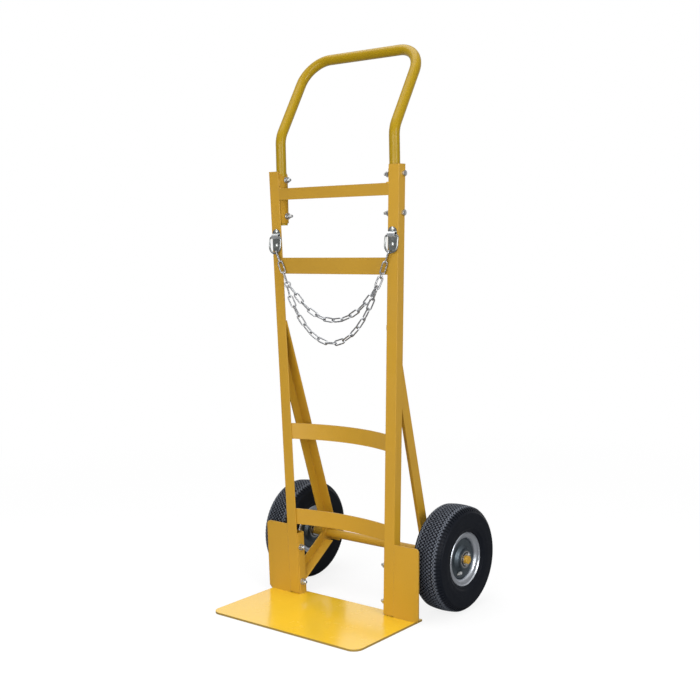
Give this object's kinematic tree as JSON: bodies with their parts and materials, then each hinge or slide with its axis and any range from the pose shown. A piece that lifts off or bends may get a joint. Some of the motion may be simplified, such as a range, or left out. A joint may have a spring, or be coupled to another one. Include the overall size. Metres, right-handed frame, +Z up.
{
  "type": "gas bottle trolley",
  "caption": "Upright steel trolley for a gas bottle: bent tube handle, bowed cradle rails, retaining chain, flat toe plate and two pneumatic wheels.",
  "frame": {"origin": "middle of the footprint on the ground, under the centre of the bounding box", "axes": "+X to the trolley's own right as it faces -Y (toe plate side), +Y towards the wheels and the user, +Z up"},
  "size_m": [0.568, 0.5023, 1.3705],
  "materials": {
    "yellow_paint": "semi-gloss ochre yellow enamel over steel",
    "toe_paint": "glossy yellow enamel, lightly scuffed",
    "zinc_fixings": "bright zinc plate",
    "bearing_steel": "ground bearing steel",
    "zinc_anchor": "bright zinc plate",
    "zinc_chain": "zinc-plated welded chain",
    "tyre_rubber": "matt moulded black rubber",
    "tube_rubber": "smooth butyl rubber",
    "rim_zinc": "dull zinc-plated pressed sheet",
    "disc_zinc": "dark grey zinc-plated pressed sheet",
    "seal_rubber": "smooth black nitrile",
    "valve_metal": "nickel-plated brass",
    "cap_plastic": "moulded plastic cap"
  },
  "bodies": {
    "frame": {"left_upright": "yellow_paint", "right_upright": "yellow_paint", "upper_crossbar": "yellow_paint", "second_crossbar": "yellow_paint", "upper_cradle_rail": "yellow_paint", "lower_cradle_rail": "yellow_paint", "handle_tube": "yellow_paint", "left_handle_socket": "yellow_paint", "right_handle_socket": "yellow_paint", "handle_bolts": "zinc_fixings", "handle_spacers": "zinc_fixings", "toe_plate": "toe_paint", "left_side_plate": "yellow_paint", "right_side_plate": "yellow_paint", "left_toe_post": "yellow_paint", "right_toe_post": "yellow_paint", "toe_bolts": "zinc_fixings", "toe_spacers": "zinc_fixings", "bolt_washers": "zinc_fixings", "bolt_nuts": "zinc_fixings", "left_rear_brace": "yellow_paint", "right_rear_brace": "yellow_paint", "left_lower_stay": "yellow_paint", "right_lower_stay": "yellow_paint", "axle": "yellow_paint", "axle_washers": "zinc_fixings", "split_pins": "zinc_fixings", "bearing_inner_races": "bearing_steel", "anchor_plates": "zinc_anchor", "anchor_saddles": "zinc_anchor", "anchor_screws": "zinc_anchor", "anchor_nuts": "zinc_anchor"},
    "left_wheel": {"left_tyre": "tyre_rubber", "left_inner_tube": "tube_rubber", "left_rim": "rim_zinc", "left_wheel_discs": "disc_zinc", "left_hub": "disc_zinc", "left_bearing_outer_races": "bearing_steel", "left_bearing_balls": "bearing_steel", "left_bearing_seals": "seal_rubber", "left_valve_stem": "valve_metal", "left_valve_cap": "cap_plastic"},
    "right_wheel": {"right_tyre": "tyre_rubber", "right_inner_tube": "tube_rubber", "right_rim": "rim_zinc", "right_wheel_discs": "disc_zinc", "right_hub": "disc_zinc", "right_bearing_outer_races": "bearing_steel", "right_bearing_balls": "bearing_steel", "right_bearing_seals": "seal_rubber", "right_valve_stem": "valve_metal", "right_valve_cap": "cap_plastic"},
    "chain": {"anchor_rings": "zinc_chain", "chain_joining_rings": "zinc_chain", "left_chain_lead": "zinc_chain", "right_chain_lead": "zinc_chain", "lower_chain_strand": "zinc_chain", "upper_chain_strand": "zinc_chain"}
  },
  "joints": [
    {"name": "left_wheel_spin", "type": "hinge", "parent": "frame", "child": "left_wheel", "pos_m": [-0.2404, 0.12115, 0.13], "axis": [1, 0, 0], "continuous": true},
    {"name": "right_wheel_spin", "type": "hinge", "parent": "frame", "child": "right_wheel", "pos_m": [0.2404, 0.12115, 0.13], "axis": [1, 0, 0], "continuous": true},
    {"name": "chain_swing", "type": "hinge", "parent": "frame", "child": "chain", "pos_m": [0, -0.03345, 0.9171], "axis": [-1, 0, 0], "range_deg": [0, 120]}
  ]
}
